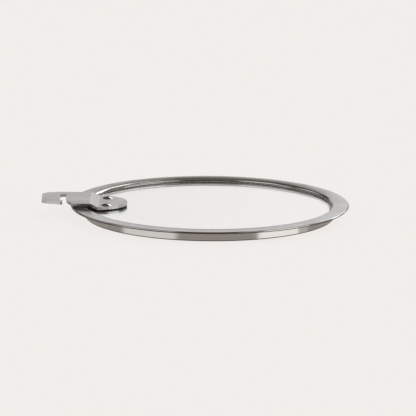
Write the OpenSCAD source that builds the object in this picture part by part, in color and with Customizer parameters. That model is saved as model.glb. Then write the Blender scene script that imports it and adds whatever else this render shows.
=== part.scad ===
// Flat glass saucepan lid with a stainless rim and a riveted hooking tab.
// Millimetres. Origin on the lid's axis at the bottom of the skirt, +Z up,
// with the tab reaching out along -X and its notch open towards -Y.

/* [Pan fit] */
// Inside diameter of the saucepan that the skirt drops into
pan_bore_d = 200; // [140:1:280]
// Radial gap between the skirt and the pan's wall
spigot_gap = 1; // [0.5:0.1:2]
// Width of the flat flange outside the skirt
flange_w = 11; // [7:0.5:16]
// Height from the bottom of the skirt to the top of the flange
lid_h = 9.5; // [8.5:0.1:14]

/* [Rim] */
// Thickness of the stainless sheet, which is folded double at the flange
sheet_t = 0.8; // [0.6:0.1:1.1]
// Width of the ledge that carries the glass, inward from the skirt's wall
ledge_w = 3.7; // [2.5:0.1:6]
// Depth of the folded hem at the bottom of the skirt
hem_w = 1.6; // [1.2:0.1:2.2]
// How far the flange's folded hem stops short of the skirt's inner wall
hem_gap = 0.1; // [0.05:0.05:0.3]
// Depth of the seat in the flange's underside that the skirt is welded into
seat_depth = 0.3; // [0.2:0.05:0.4]

/* [Glass] */
// Thickness of the tempered glass
glass_t = 4; // [3:0.1:5]
// Depth of the glass's upper face below the flange's top
glass_drop = 2.4; // [2:0.1:3.5]
// Rounding of the pane's ground edges
glass_edge_r = 0.6; // [0.2:0.1:1.2]
// Silicone between the ledge and the glass
seal_base_t = 0.5; // [0.3:0.1:0.9]
// Silicone between the lip and the glass
seal_lip_t = 0.3; // [0.2:0.1:0.6]
// Silicone between the pane's edge and the skirt
seal_web_t = 0.7; // [0.4:0.1:1.2]

/* [Hooking tab] */
// Width of the tab and of its round-ended plate
tab_w = 46; // [34:1:60]
// Thickness of the tab
tab_t = 2.1; // [1.2:0.1:2.5]
// Reach of the tab beyond the flange's edge
tab_reach = 23; // [22:0.5:40]
// Air between the flange and the tab
tab_gap = 1.1; // [0.8:0.05:3]
// Distance of the plate's centre inside the skirt's outer wall
plate_inset = 11; // [7:0.5:20]
// Length of the step between the tab and the plate
step_run = 6; // [5:0.5:10]
// Bend radius on the inside of each fold
bend_r = 2.5; // [1:0.5:4]
// Rounding of the outline's corners
corner_r = 1.2; // [0.5:0.1:3]

/* [Notch] */
// Width of the notch
notch_w = 4.5; // [4.2:0.1:7]
// Length of the hook outside the notch
hook_l = 15; // [10:0.5:18]
// Metal left between the notch's end and the back edge
notch_neck = 10; // [7:0.5:14]
// How far the hook's front edge stands back from the tab's
hook_setback = 5.5; // [2:0.5:10]
// How far the hook's tip reaches into the notch
hook_tip = 2.4; // [0:0.1:2.8]
// Length of that tip
hook_tip_l = 8; // [5:0.5:10]
// Radius of the flare that leads into the notch
flare_r = 44; // [30:1:80]

/* [Hook outline] */
// Length of the hook's back edge that tapers towards its end
taper_l = 13.5; // [12:0.5:16]
// How far the back edge comes in over the taper
taper_w = 2.5; // [1.5:0.5:3.5]
// Rounding where the taper starts
taper_r = 20; // [10:1:24]
// Cut along the tab at the hook's back corner
back_cut_l = 4; // [3:0.5:5]
// Cut across the tab at both corners of the hook's end
end_cut_w = 7.5; // [6.5:0.5:8]
// How far the end leans back towards the front corner
end_lean = 1; // [0.5:0.5:1.5]
// Cut along the tab at the hook's front corner
front_cut_l = 6; // [5:0.5:7]
// Cut across the tab at the hook's front corner
front_cut_w = 3.2; // [2.5:0.1:4]
// Rounding of the cuts at the hook's end
cut_r = 3; // [1:0.5:4]

/* [Fastening] */
// Distance between the two rivets
rivet_pitch = 28; // [20:0.5:34]
// Distance of the rivets from the plate's centre, towards the lid's axis
rivet_in = 7; // [0:0.5:9]
// Radius of a rivet's shank
rivet_r = 2.5; // [1.5:0.1:3]
// Radius of a rivet's domed head
rivet_head_r = 4.5; // [3.5:0.1:6]
// Height of a rivet's domed head
rivet_head_h = 1.3; // [0.6:0.1:2.5]
// Radius of a rivet's closed tail
rivet_tail_r = 3.6; // [3:0.1:5]
// Height of a rivet's closed tail
rivet_tail_h = 0.6; // [0.3:0.1:0.7]
// Wall of the soft sleeve round each rivet in the glass
bush_wall = 1.3; // [0.8:0.1:2]
// Play of the rivet's shank in the plates and of the sleeve in the glass
hole_gap = 0.1; // [0.05:0.05:0.3]
// Thickness of the silicone gaskets on both faces of the glass
pad_t = 0.7; // [0.5:0.05:1.5]
// How far a gasket stands back from its plate's edge
pad_setback = 0.4; // [0.1:0.1:1]
// Length of the gasket's wedge beyond the step, under the tab
wedge_l = 1.2; // [0.5:0.1:3]
// Air between the gasket and the rim
pad_gap = 0.2; // [0.1:0.1:0.5]
// Thickness of the counter plate under the glass
counter_t = 1.5; // [1:0.1:1.5]
// Air between the counter plate and the ledge
counter_gap = 0.7; // [0.4:0.1:2]

/* [Hidden] */

ring_fn = 180;
round_fn = 64;
arc_steps = 8;
end_steps = 48;

// Radii of the rim
skirt_r = pan_bore_d / 2 - spigot_gap;
skirt_in_r = skirt_r - sheet_t;
flange_r = skirt_r + flange_w;
flange_t = 2 * sheet_t;
ledge_r = skirt_in_r - ledge_w;
glass_r = skirt_in_r - seal_web_t;

// Heights of the rim and the glass
glass_top = lid_h - glass_drop;
glass_base = glass_top - glass_t;
ledge_top = glass_base - seal_base_t;

// The lip turns down through a quarter circle from the flange to the glass
lip_z = glass_top + seal_lip_t;
lip_r = lid_h - lip_z;
lip_c = skirt_r - sheet_t / 2;
lip_in_r = lip_c - lip_r;
lip_under_r = lip_r - sheet_t;
seat_z = lid_h - flange_t + seat_depth;

// The tab, in the plane of the lid's axis
plate_x = -(skirt_r - plate_inset);
plate_base = glass_top + pad_t;
tab_base = lid_h + tab_gap;
step_h = tab_base - plate_base;
step_x = plate_x - step_run;
tab_end = -(flange_r + tab_reach);
half_w = tab_w / 2;
step_angle = atan(step_h / step_run);
fold_shift = tab_t * tan(step_angle / 2);
fold_out_r = bend_r + tab_t;

// The notch and the hook, in the plane of the tab
notch_out = tab_end + hook_l;
notch_in = notch_out + notch_w;
notch_end = half_w - notch_neck;
hook_front = -(half_w - hook_setback);

// The rivets' stack under the plate
rivet_x = plate_x + rivet_in;
bush_r = rivet_r + bush_wall;
counter_top = glass_base - pad_t;
counter_base = counter_top - counter_t;
counter_r = ledge_r - counter_gap;
plate_top = plate_base + tab_t;

// Points of a circular arc round c, from angle a to angle b
function arc(c, r, a, b, n = arc_steps) =
    [for (i = [0:n]) let (t = a + (b - a) * i / n) c + r * [cos(t), sin(t)]];

// One corner of a closed outline, cut back and rounded with radius r
function fillet(p, q, s, r) =
    let (u = (p - q) / norm(p - q), v = (s - q) / norm(s - q),
         half = acos(u * v) / 2, side = sign(cross(u, v)),
         centre = q + (u + v) / norm(u + v) * r / sin(half),
         from = q + u * r / tan(half) - centre, a = atan2(from[1], from[0]),
         turn = -side * (180 - 2 * half))
    arc(centre, r, a, a + turn);

// A closed outline [[x, y, corner radius], ...] with its corners rounded
function rounded(pts) =
    [for (i = [0:len(pts) - 1])
        let (n = len(pts), p = pts[(i + n - 1) % n], q = pts[i], s = pts[(i + 1) % n])
        each (q[2] > 0 ? fillet([p[0], p[1]], [q[0], q[1]], [s[0], s[1]], q[2])
                       : [[q[0], q[1]]])];

// Side view of the strip that is folded into tab, step and plate
function strip_side(from) =
    rounded([[from, tab_base + tab_t, 0],
             [step_x + fold_shift, tab_base + tab_t, fold_out_r],
             [plate_x + fold_shift, plate_top, bend_r],
             [0, plate_top, 0],
             [0, plate_base, 0],
             [plate_x, plate_base, fold_out_r],
             [step_x, tab_base, bend_r],
             [from, tab_base, 0]]);

// Side view of the gasket that fills the space under the strip
function gasket_side(from) =
    rounded([[0, glass_top, 0],
             [0, plate_base, 0],
             [plate_x, plate_base, fold_out_r],
             [step_x, tab_base, bend_r],
             [from, tab_base, 0],
             [from, glass_top, 0]]);

// Plan of the round-ended plate, set back all round, from its end to back_x
module plate_plan(setback, back_x) {
    r = half_w - setback;
    polygon(concat(arc([plate_x, 0], r, -90, 90, end_steps),
                   [[back_x, r], [back_x, -r]]));
}

// Plan of the tab from the hook's outer end to the plate's round end
module tab_plan() {
    flare_a = asin(half_w / flare_r);
    flare = arc([notch_in + flare_r, 0], flare_r, 180, 180 + flare_a, 2 * arc_steps);
    outline = concat(
        rounded([[step_x, half_w, 0],
                 [tab_end + taper_l, half_w, taper_r],
                 [tab_end + back_cut_l, half_w - taper_w, cut_r],
                 [tab_end, half_w - end_cut_w, corner_r],
                 [tab_end + end_lean, hook_front + end_cut_w, cut_r],
                 [tab_end + front_cut_l, hook_front + front_cut_w, cut_r],
                 [notch_out + hook_tip, hook_front, corner_r],
                 [notch_out + hook_tip, hook_front + hook_tip_l, corner_r / 2],
                 [notch_out, hook_front + hook_tip_l, 0],
                 [notch_out, notch_end, corner_r / 2],
                 [notch_in, notch_end, corner_r / 2],
                 [notch_in, 0, 0]]),
        flare,
        arc([plate_x, 0], half_w, -90, 90, end_steps));
    polygon(outline);
}

// Shank hole at both rivets, from z = low to z = high
module rivet_holes(r, low, high) {
    for (side = [-1, 1])
        translate([rivet_x, side * rivet_pitch / 2, low])
            cylinder(r = r, h = high - low, $fn = round_fn);
}

// The space that the lip and the flange need, with a gap all round
module rim_space(gap) {
    rotate_extrude($fn = ring_fn)
        polygon(concat([[flange_r + gap, glass_top - 1], [lip_in_r - gap, glass_top - 1]],
                       arc([lip_c, lip_z], lip_r + gap, 180, 90),
                       [[flange_r + gap, lid_h + gap]]));
}

module glass_pane() {
    color([0.86, 0.9, 0.89, 0.35])
    difference() {
        rotate_extrude($fn = ring_fn)
            polygon(concat([[0, glass_base]],
                           arc([glass_r - glass_edge_r, glass_base + glass_edge_r],
                               glass_edge_r, -90, 0),
                           arc([glass_r - glass_edge_r, glass_top - glass_edge_r],
                               glass_edge_r, 0, 90),
                           [[0, glass_top]]));
        rivet_holes(bush_r + hole_gap, glass_base - 1, glass_top + 1);
    }
}

module glass_seal() {
    color([0.72, 0.73, 0.73])
    difference() {
        rotate_extrude($fn = ring_fn)
            polygon([[ledge_r + pad_setback, ledge_top], [skirt_in_r, ledge_top],
                     [skirt_in_r, lip_z], [lip_in_r + seal_lip_t, lip_z],
                     [lip_in_r + seal_lip_t, glass_base],
                     [ledge_r + pad_setback, glass_base]]);
        translate([0, 0, glass_base])
            cylinder(r = glass_r, h = glass_t, $fn = ring_fn);
    }
}

module rim_cover() {
    edge_r = flange_t / 2;
    hem_end = skirt_in_r + hem_gap;
    under_a = acos((hem_end - lip_c) / lip_under_r);
    color([0.74, 0.73, 0.72])
    rotate_extrude($fn = ring_fn)
        polygon(concat(arc([lip_c, lip_z], lip_r, 180, 90),
                       arc([flange_r - edge_r, lid_h - edge_r], edge_r, 90, -90),
                       [[skirt_r, lid_h - flange_t], [skirt_r, seat_z], [hem_end, seat_z]],
                       arc([lip_c, lip_z], lip_under_r, under_a, 180)));
}

module rim_skirt() {
    foot_r = hem_w / 2;
    color([0.58, 0.56, 0.54])
    rotate_extrude($fn = ring_fn)
        polygon(concat([[skirt_r, lid_h - flange_t],
                        [skirt_r - seat_depth, seat_z],
                        [skirt_in_r, seat_z],
                        [skirt_in_r, ledge_top],
                        [ledge_r, ledge_top],
                        [ledge_r, ledge_top - sheet_t],
                        [skirt_r - hem_w, ledge_top - sheet_t]],
                       arc([skirt_r - foot_r, foot_r], foot_r, 180, 360)));
}

module hook_tab() {
    color([0.67, 0.67, 0.66])
    difference() {
        intersection() {
            translate([0, half_w + 1, 0]) rotate([90, 0, 0])
                linear_extrude(tab_w + 2) polygon(strip_side(tab_end - 1));
            linear_extrude(tab_base + tab_t + 1) tab_plan();
        }
        rivet_holes(rivet_r + hole_gap, plate_base - 1, plate_top + 1);
    }
}

module tab_gasket() {
    wedge_x = step_x - wedge_l;
    color([0.06, 0.06, 0.06])
    difference() {
        intersection() {
            linear_extrude(tab_base + 1) plate_plan(pad_setback, wedge_x);
            translate([0, half_w, 0]) rotate([90, 0, 0])
                linear_extrude(tab_w) polygon(gasket_side(wedge_x));
        }
        rim_space(pad_gap);
        rivet_holes(rivet_r + hole_gap, glass_top - 1, plate_base + 1);
    }
}

// Plan of the pieces under the glass, kept inside the ledge
module counter_plan(setback) {
    intersection() {
        circle(r = counter_r - setback, $fn = ring_fn);
        plate_plan(setback, -counter_r);
    }
}

module counter_gasket() {
    color([0.06, 0.06, 0.06])
    difference() {
        translate([0, 0, counter_top]) linear_extrude(pad_t) counter_plan(pad_setback);
        rivet_holes(rivet_r + hole_gap, counter_top - 1, glass_base + 1);
    }
}

module counter_plate() {
    color([0.67, 0.67, 0.66])
    difference() {
        translate([0, 0, counter_base]) linear_extrude(counter_t) counter_plan(0);
        rivet_holes(rivet_r + hole_gap, counter_base - 1, counter_top + 1);
    }
}

// A low dome of radius r and height h, standing on z = 0
function dome(r, h) =
    let (ball = (r * r + h * h) / (2 * h), a = asin(r / ball))
    arc([0, h - ball], ball, 90 - a, 90);

module rivet(side) {
    tail = [for (p = dome(rivet_tail_r, rivet_tail_h)) [p[0], counter_base - p[1]]];
    head = [for (p = dome(rivet_head_r, rivet_head_h)) [p[0], plate_top + p[1]]];
    last = len(tail) - 1;
    color([0.8, 0.79, 0.78])
    translate([rivet_x, side * rivet_pitch / 2, 0])
        rotate_extrude($fn = round_fn)
            polygon(concat([for (i = [0:last]) tail[last - i]],
                           [[rivet_r, counter_base], [rivet_r, plate_top]],
                           head));
}

module bush(side) {
    color([0.1, 0.1, 0.1])
    translate([rivet_x, side * rivet_pitch / 2, glass_base])
        difference() {
            cylinder(r = bush_r, h = glass_t, $fn = round_fn);
            translate([0, 0, -1]) cylinder(r = rivet_r, h = glass_t + 2, $fn = round_fn);
        }
}

module rivet_front() { rivet(-1); }
module rivet_back() { rivet(1); }
module bush_front() { bush(-1); }
module bush_back() { bush(1); }

glass_pane();
glass_seal();
rim_cover();
rim_skirt();
hook_tab();
tab_gasket();
counter_gasket();
counter_plate();
rivet_front();
rivet_back();
bush_front();
bush_back();
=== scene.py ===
"""Looks of a flat glass saucepan lid: satin and polished stainless, glass and silicone."""
import math

import bpy
from mathutils import Matrix, Vector


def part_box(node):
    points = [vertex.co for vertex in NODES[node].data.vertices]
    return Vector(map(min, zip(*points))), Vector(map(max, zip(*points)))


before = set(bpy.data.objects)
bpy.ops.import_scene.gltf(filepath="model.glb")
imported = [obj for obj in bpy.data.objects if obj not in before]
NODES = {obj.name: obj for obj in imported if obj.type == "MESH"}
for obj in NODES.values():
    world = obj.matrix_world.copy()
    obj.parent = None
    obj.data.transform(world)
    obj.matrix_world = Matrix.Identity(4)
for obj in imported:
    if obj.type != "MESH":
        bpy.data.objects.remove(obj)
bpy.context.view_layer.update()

# Places taken from the frame, in metres
RIM_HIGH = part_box("rim_cover")[1]
FLANGE_R = RIM_HIGH.x
SKIRT_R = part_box("rim_skirt")[1].x
LID_CENTRE = Vector((0, 0, RIM_HIGH.z))

# The flange's satin face lies between its lip and its outer edge, which are polished
LIP_R = SKIRT_R - 0.0004
OUTER_R = FLANGE_R - 0.0008
EDGE_FADE = 0.0002
EDGE_ROUGH = 0.07
EDGE_BUMP = 0.01
EDGE_COLOUR = (0.56, 0.54, 0.515)

# Satin steel: the darkest and lightest tone of its grain on the ring and on the tab
RING_SATIN = ((0.50, 0.495, 0.485), (0.70, 0.695, 0.685))
TAB_SATIN = ((0.46, 0.455, 0.45), (0.65, 0.645, 0.64))
SATIN_TONES = (0.35, 0.65)   # where the pattern reaches the darkest and the lightest tone
SATIN_CLOUDS = (0.4, 0.9)    # where it reaches the smoothest and the roughest finish
SATIN_ROUGH = (0.17, 0.24)
SATIN_BUMP = 0.12
SPECK_SHARE = 0.6            # of specks in the tone; the rest is grain
SPECK_ROUGH = 0.3            # how much the specks add to the clouds
# The ring's face leans inward by these slopes, at its lip and at its outer edge
DISH_LEAN = (0.12, 0.02)
# The grain is stretched by this much round the ring's axis and along the tab
RING_STRETCH = 0.02
TAB_STRETCH = (0.12, 1, 1)

# Polished steel: its tones, how much its haze roughens it, and its turning lines' stretch
POLISH_TONES = ((0.50, 0.47, 0.44), (0.60, 0.575, 0.55))
POLISH_HAZE = 0.06
POLISH_STRETCH = (0.05, 0.05, 1)

# Glass: its tones, the stretch of its smears and how much they roughen it
GLASS_TONES = ((0.965, 0.985, 0.975), (0.985, 0.995, 0.99))
GLASS_STRETCH = (1, 0.35, 1)
GLASS_HAZE = 0.03
GLASS_IOR = 1.52

# Silicone: its tones, and how far its dust takes the roughness down and up
BLACK_TONES = ((0.008, 0.008, 0.008), (0.016, 0.015, 0.015))
CLEAR_TONES = ((0.55, 0.56, 0.56), (0.66, 0.67, 0.67))
DUST_SPREAD = (0.08, 0.12)

# The camera: a long lens, low over the lid, with the tab on the left
CAMERA_DISTANCE = 20 * FLANGE_R
CAMERA_ELEVATION = math.radians(11.72)
CAMERA_ROLL = math.radians(0.4)
LENS_MM = 241
SENSOR_MM = 36
VIEW_END = 50
AIM_OFFSET = (-0.00119, -0.00427)    # right and up of the flange's centre

# The floor's colour, its glow, which keeps its shade even, and how it takes light and shadow
FLOOR_COLOUR = (0.888, 0.857, 0.834)
FLOOR_GLOW = 0.935
FLOOR_DIFFUSE = 0.15
FLOOR_REACH = 30.0
# The far wall that hides the floor's horizon
WALL_R = 10.0
WALL_HEIGHT = 4.0
WALL_SIDES = 64

# The studio's dark room, and the strengths between which its tint gives way to white
DARK_ROOM = 0.10
ROOM_TINT = (1.0, 0.88, 0.76)
TINT_STRENGTHS = (0.1, 0.8)
# Its panels: bearings and elevations in degrees, soft edge and strength
PANELS = [
    ((34, 92), (22, 58), 5, 0.85),      # high on the right
    ((268, 326), (28, 62), 5, 0.80),    # high on the left
    ((126, 163), (14, 29), 3, 2.40),    # behind on the right
    ((142, 173), (28, 47), 3, 2.40),    # its upper half, further round
    ((96, 130), (18, 50), 6, 0.28),     # the dimmer near side of the panel behind
    ((219, 262), (18, 36), 5, 0.62),    # behind on the left
    ((-20, 380), (74, 110), 6, 0.25),   # the dim ceiling
    ((-20, 380), (-18, -4), 4, 0.36),   # the pale ground all round
    ((45, 89), (-20, 12), 2, 1.00),     # low on the right, down to the ground
    ((45, 89), (2, 14), 2, 0.70),       # its brighter upper part
    ((89, 102), (-20, 8), 3, 0.28),     # its dim far edge
    ((275, 330), (-20, 10), 4, 0.62),   # low on the left, down to the ground
]
# The pale backdrop low behind the lid, which grows brighter to the right and upward
BACKDROP_BEARINGS = (170.5, 206)
BACKDROP_ELEVATIONS = (-14, 18)
BACKDROP_SOFT = 2.5
BACKDROP_TURN = (172, 188)           # bearings of its two strengths
BACKDROP_STRENGTHS = (0.94, 0.50)
BACKDROP_RISE = (0, 12)              # elevations of its two shares
BACKDROP_SHARES = (0.70, 1.0)


def camera():
    """Sets the camera at the photograph's angle."""
    back = Vector((0, -math.cos(CAMERA_ELEVATION), math.sin(CAMERA_ELEVATION)))
    up = Vector((0, math.sin(CAMERA_ELEVATION), math.cos(CAMERA_ELEVATION)))
    place = LID_CENTRE + back * CAMERA_DISTANCE
    aim = LID_CENTRE + Vector((AIM_OFFSET[0], 0, 0)) + up * AIM_OFFSET[1]
    data = bpy.data.cameras.new("camera")
    data.lens = LENS_MM
    data.sensor_width = SENSOR_MM
    data.clip_end = VIEW_END
    cam = bpy.data.objects.new("camera", data)
    bpy.context.scene.collection.objects.link(cam)
    turn = (aim - place).to_track_quat("-Z", "Y").to_matrix().to_4x4()
    cam.matrix_world = Matrix.Translation(place) @ turn @ Matrix.Rotation(CAMERA_ROLL, 4, "Z")
    bpy.context.scene.camera = cam


# ---------------------------------------------------------------- node helpers

class Nodes:
    """A short way to write a shader tree: each call adds nodes and gives back an output."""

    def __init__(self, tree):
        self.tree = tree
        tree.nodes.clear()

    def add(self, kind, inputs=None, **settings):
        node = self.tree.nodes.new("ShaderNode" + kind)
        for key, value in settings.items():
            setattr(node, key, value)
        for key, value in (inputs or {}).items():
            self.put(node, key, value)
        return node

    def put(self, node, key, value):
        if isinstance(value, bpy.types.NodeSocket):
            self.tree.links.new(value, node.inputs[key])
        else:
            node.inputs[key].default_value = value

    def math(self, operation, *values):
        node = self.add("Math", operation=operation)
        for i, value in enumerate(values):
            self.put(node, i, value)
        return node.outputs[0]

    def vector(self, operation, *values):
        node = self.add("VectorMath", operation=operation)
        for i, value in enumerate(values):
            self.put(node, i, value)
        return node.outputs[0]

    def ramp(self, value, low, high, out_low, out_high, smooth=True):
        """Goes from out_low to out_high while the value goes from low to high."""
        node = self.add("MapRange", {"Value": value, "From Min": low, "From Max": high,
                                     "To Min": out_low, "To Max": out_high})
        node.interpolation_type = "SMOOTHSTEP" if smooth else "LINEAR"
        return node.outputs[0]

    def noise(self, where, scale, detail, rough):
        node = self.add("TexNoise", {"Vector": where, "Scale": scale, "Detail": detail,
                                     "Roughness": rough})
        return node.outputs["Fac"]


# ---------------------------------------------------------------- studio

def studio():
    """A dark studio with pale panels round the lid, all soft-edged, and no lamp."""
    world = bpy.data.worlds.new("studio")
    bpy.context.scene.world = world
    world.use_nodes = True
    n = Nodes(world.node_tree)
    x, y, z = n.add("SeparateXYZ", {0: n.add("TexCoord").outputs["Generated"]}).outputs
    degrees = math.degrees(1)
    elevation = n.math("MULTIPLY", n.math("ARCSINE", z), degrees)
    # Bearing: 0 in front of the lid, 90 on its right, 180 behind it and 270 on its left
    bearing = n.math("MULTIPLY", n.math("ARCTAN2", x, n.math("MULTIPLY", y, -1)), degrees)
    bearing = n.math("FLOORED_MODULO", bearing, 360)

    def panel(bearings, elevations, soft):
        """1 inside a window of bearing and elevation with a soft edge, 0 outside it."""
        mask = 1.0
        for value, (low, high) in ((bearing, bearings), (elevation, elevations)):
            mask = n.math("MULTIPLY", mask, n.ramp(value, low - soft, low + soft, 0, 1))
            mask = n.math("MULTIPLY", mask, n.ramp(value, high - soft, high + soft, 1, 0))
        return mask

    total = DARK_ROOM
    for bearings, elevations, soft, strength in PANELS:
        light = n.math("MULTIPLY", panel(bearings, elevations, soft), strength)
        total = n.math("ADD", total, light)
    backdrop = panel(BACKDROP_BEARINGS, BACKDROP_ELEVATIONS, BACKDROP_SOFT)
    turn = n.ramp(bearing, *BACKDROP_TURN, *BACKDROP_STRENGTHS, smooth=False)
    rise = n.ramp(elevation, *BACKDROP_RISE, *BACKDROP_SHARES)
    backdrop = n.math("MULTIPLY", n.math("MULTIPLY", backdrop, turn), rise)
    total = n.math("ADD", total, backdrop)
    warm = n.add("MixRGB", {"Fac": n.ramp(total, *TINT_STRENGTHS, 0, 1),
                            "Color1": (*ROOM_TINT, 1), "Color2": (1, 1, 1, 1)})
    background = n.add("Background", {"Color": warm.outputs[0], "Strength": total})
    n.add("OutputWorld", {"Surface": background.outputs[0]})


def stage_piece(name, points, faces, material):
    """One piece of the ground or the wall, which shows in no reflection."""
    mesh = bpy.data.meshes.new(name)
    mesh.from_pydata(points, [], faces)
    mesh.materials.append(material)
    piece = bpy.data.objects.new(name, mesh)
    bpy.context.scene.collection.objects.link(piece)
    piece.visible_glossy = False
    return piece


def ground():
    """A wide pale floor, even in shade, and a far wall that carries its shade upward."""
    material = bpy.data.materials.new("floor")
    material.use_nodes = True
    n = Nodes(material.node_tree)
    glow = n.add("Emission", {"Color": (*FLOOR_COLOUR, 1), "Strength": FLOOR_GLOW})
    shade = tuple(FLOOR_DIFFUSE * c for c in FLOOR_COLOUR)
    lit = n.add("BsdfDiffuse", {"Color": (*shade, 1)})
    both = n.add("AddShader", {0: glow.outputs[0], 1: lit.outputs[0]})
    n.add("OutputMaterial", {"Surface": both.outputs[0]})

    s = FLOOR_REACH
    corners = [(-s, -s, 0), (s, -s, 0), (s, s, 0), (-s, s, 0)]
    stage_piece("floor", corners, [(0, 1, 2, 3)], material)
    turns = [math.tau * i / WALL_SIDES for i in range(WALL_SIDES)]
    points = [(WALL_R * math.cos(a), WALL_R * math.sin(a), z)
              for z in (0, WALL_HEIGHT) for a in turns]
    pairs = [(i, (i + 1) % WALL_SIDES) for i in range(WALL_SIDES)]
    faces = [(i, j, j + WALL_SIDES, i + WALL_SIDES) for i, j in pairs]
    wall = stage_piece("wall", points, faces, material)
    # The wall neither lights nor shades the lid
    wall.visible_diffuse = False
    wall.visible_shadow = False


# ---------------------------------------------------------------- materials

def shader(name):
    """A new material: its nodes, its place coordinate in metres and its Principled shader."""
    material = bpy.data.materials.new(name)
    material.use_nodes = True
    n = Nodes(material.node_tree)
    place = n.add("TexCoord").outputs["Object"]
    surface = n.add("BsdfPrincipled")
    n.add("OutputMaterial", {"Surface": surface.outputs[0]})
    return material, n, place, surface


def blend(n, amount, colour_a, colour_b):
    """A colour between two, by an amount from 0 to 1."""
    mix = n.add("MixRGB", {"Fac": amount, "Color1": (*colour_a, 1), "Color2": (*colour_b, 1)})
    return mix.outputs[0]


def satin_steel(name, ring=False):
    """Stainless with a fine satin grain; a ring's grain runs round it, between polished edges."""
    material, n, place, surface = shader(name)
    if ring:
        x, y, z = n.add("SeparateXYZ", {0: place}).outputs
        flat = n.vector("MULTIPLY", place, (1, 1, 0))
        radius = n.add("VectorMath", {0: flat}, operation="LENGTH").outputs["Value"]
        turn = n.math("MULTIPLY", n.math("ARCTAN2", y, x), RING_STRETCH)
        along = n.add("CombineXYZ", {0: turn, 1: radius, 2: z}).outputs[0]
    else:
        along = n.vector("MULTIPLY", place, TAB_STRETCH)
    grain = n.noise(along, scale=2600, detail=3, rough=0.6)
    speck = n.noise(place, scale=1500, detail=2, rough=0.5)
    cloud = n.noise(place, scale=45, detail=3, rough=0.5)
    tone = n.math("ADD", n.math("MULTIPLY", speck, SPECK_SHARE),
                  n.math("MULTIPLY", grain, 1 - SPECK_SHARE))
    colour = blend(n, n.ramp(tone, *SATIN_TONES, 0, 1), *(RING_SATIN if ring else TAB_SATIN))
    worn = n.math("ADD", cloud, n.math("MULTIPLY", speck, SPECK_ROUGH))
    rough = n.ramp(worn, *SATIN_CLOUDS, *SATIN_ROUGH)
    bump = n.add("Bump", {"Strength": SATIN_BUMP, "Distance": 0.00004, "Height": tone})
    if ring:
        # The lip and the outer edge are polished
        satin = n.math("MULTIPLY", n.ramp(radius, LIP_R - EDGE_FADE, LIP_R + EDGE_FADE, 0, 1),
                       n.ramp(radius, OUTER_R - EDGE_FADE, OUTER_R + EDGE_FADE, 1, 0))
        mix = n.add("MixRGB", {"Fac": satin, "Color1": (*EDGE_COLOUR, 1), "Color2": colour})
        colour = mix.outputs[0]
        rough = n.ramp(satin, 0, 1, EDGE_ROUGH, rough, smooth=False)
        n.put(bump, "Strength", n.ramp(satin, 0, 1, EDGE_BUMP, SATIN_BUMP, smooth=False))
        # The flange's face is dished a little, more towards its lip
        inward = n.vector("MULTIPLY", n.vector("NORMALIZE", place), (-1, -1, 0))
        lean = n.ramp(radius, LIP_R, FLANGE_R, *DISH_LEAN, smooth=False)
        lean = n.math("MULTIPLY", satin, lean)
        scaled = n.add("VectorMath", {0: inward, "Scale": lean}, operation="SCALE").outputs[0]
        normal = n.add("NewGeometry").outputs["Normal"]
        n.put(bump, "Normal", n.vector("NORMALIZE", n.vector("ADD", normal, scaled)))
    n.put(surface, "Base Color", colour)
    n.put(surface, "Roughness", rough)
    n.put(surface, "Metallic", 1.0)
    n.put(surface, "Normal", bump.outputs[0])
    return material


def polished_steel(name, rough=0.08):
    """Polished stainless with faint turning lines and fine haze."""
    material, n, place, surface = shader(name)
    stretched = n.vector("MULTIPLY", place, POLISH_STRETCH)
    lines = n.noise(stretched, scale=1800, detail=2, rough=0.5)
    haze = n.noise(place, scale=60, detail=4, rough=0.6)
    n.put(surface, "Base Color", blend(n, haze, *POLISH_TONES))
    n.put(surface, "Metallic", 1.0)
    n.put(surface, "Roughness", n.ramp(haze, 0.3, 0.7, rough, rough + POLISH_HAZE))
    bump = n.add("Bump", {"Strength": 0.05, "Distance": 0.00003, "Height": lines})
    n.put(surface, "Normal", bump.outputs[0])
    return material


def clear_glass():
    """Tempered glass, clear, with the faintest smears on its faces."""
    material, n, place, surface = shader("pane_glass")
    stretched = n.vector("MULTIPLY", place, GLASS_STRETCH)
    smear = n.noise(stretched, scale=30, detail=4, rough=0.6)
    n.put(surface, "Base Color", blend(n, smear, *GLASS_TONES))
    n.put(surface, "Roughness", n.ramp(smear, 0.45, 0.8, 0.0, GLASS_HAZE))
    n.put(surface, "Transmission Weight", 1.0)
    n.put(surface, "IOR", GLASS_IOR)
    return material


def silicone(name, tones, rough=0.55):
    """Matt moulded silicone with a fine dusty grain."""
    material, n, place, surface = shader(name)
    dust = n.noise(place, scale=900, detail=3, rough=0.6)
    cloud = n.noise(place, scale=120, detail=3, rough=0.5)
    less, more = DUST_SPREAD
    n.put(surface, "Base Color", blend(n, cloud, *tones))
    n.put(surface, "Roughness", n.ramp(dust, 0.3, 0.7, rough - less, rough + more))
    n.put(surface, "Specular IOR Level", 0.35)
    bump = n.add("Bump", {"Strength": 0.15, "Distance": 0.00005, "Height": dust})
    n.put(surface, "Normal", bump.outputs[0])
    return material


def dress(material, *names):
    """Gives one material to the named CAD nodes."""
    for name in names:
        mesh = NODES[name].data
        mesh.materials.clear()
        mesh.materials.append(material)


camera()
studio()
ground()
bpy.context.scene.view_settings.view_transform = "Standard"

dress(clear_glass(), "glass_pane")
dress(satin_steel("flange_satin", ring=True), "rim_cover")
dress(polished_steel("skirt_polished"), "rim_skirt")
dress(satin_steel("tab_satin"), "hook_tab", "counter_plate")
dress(polished_steel("rivet_polished", rough=0.06), "rivet_front", "rivet_back")
dress(silicone("black_silicone", BLACK_TONES),
      "tab_gasket", "counter_gasket", "bush_front", "bush_back")
dress(silicone("clear_silicone", CLEAR_TONES, rough=0.4), "glass_seal")
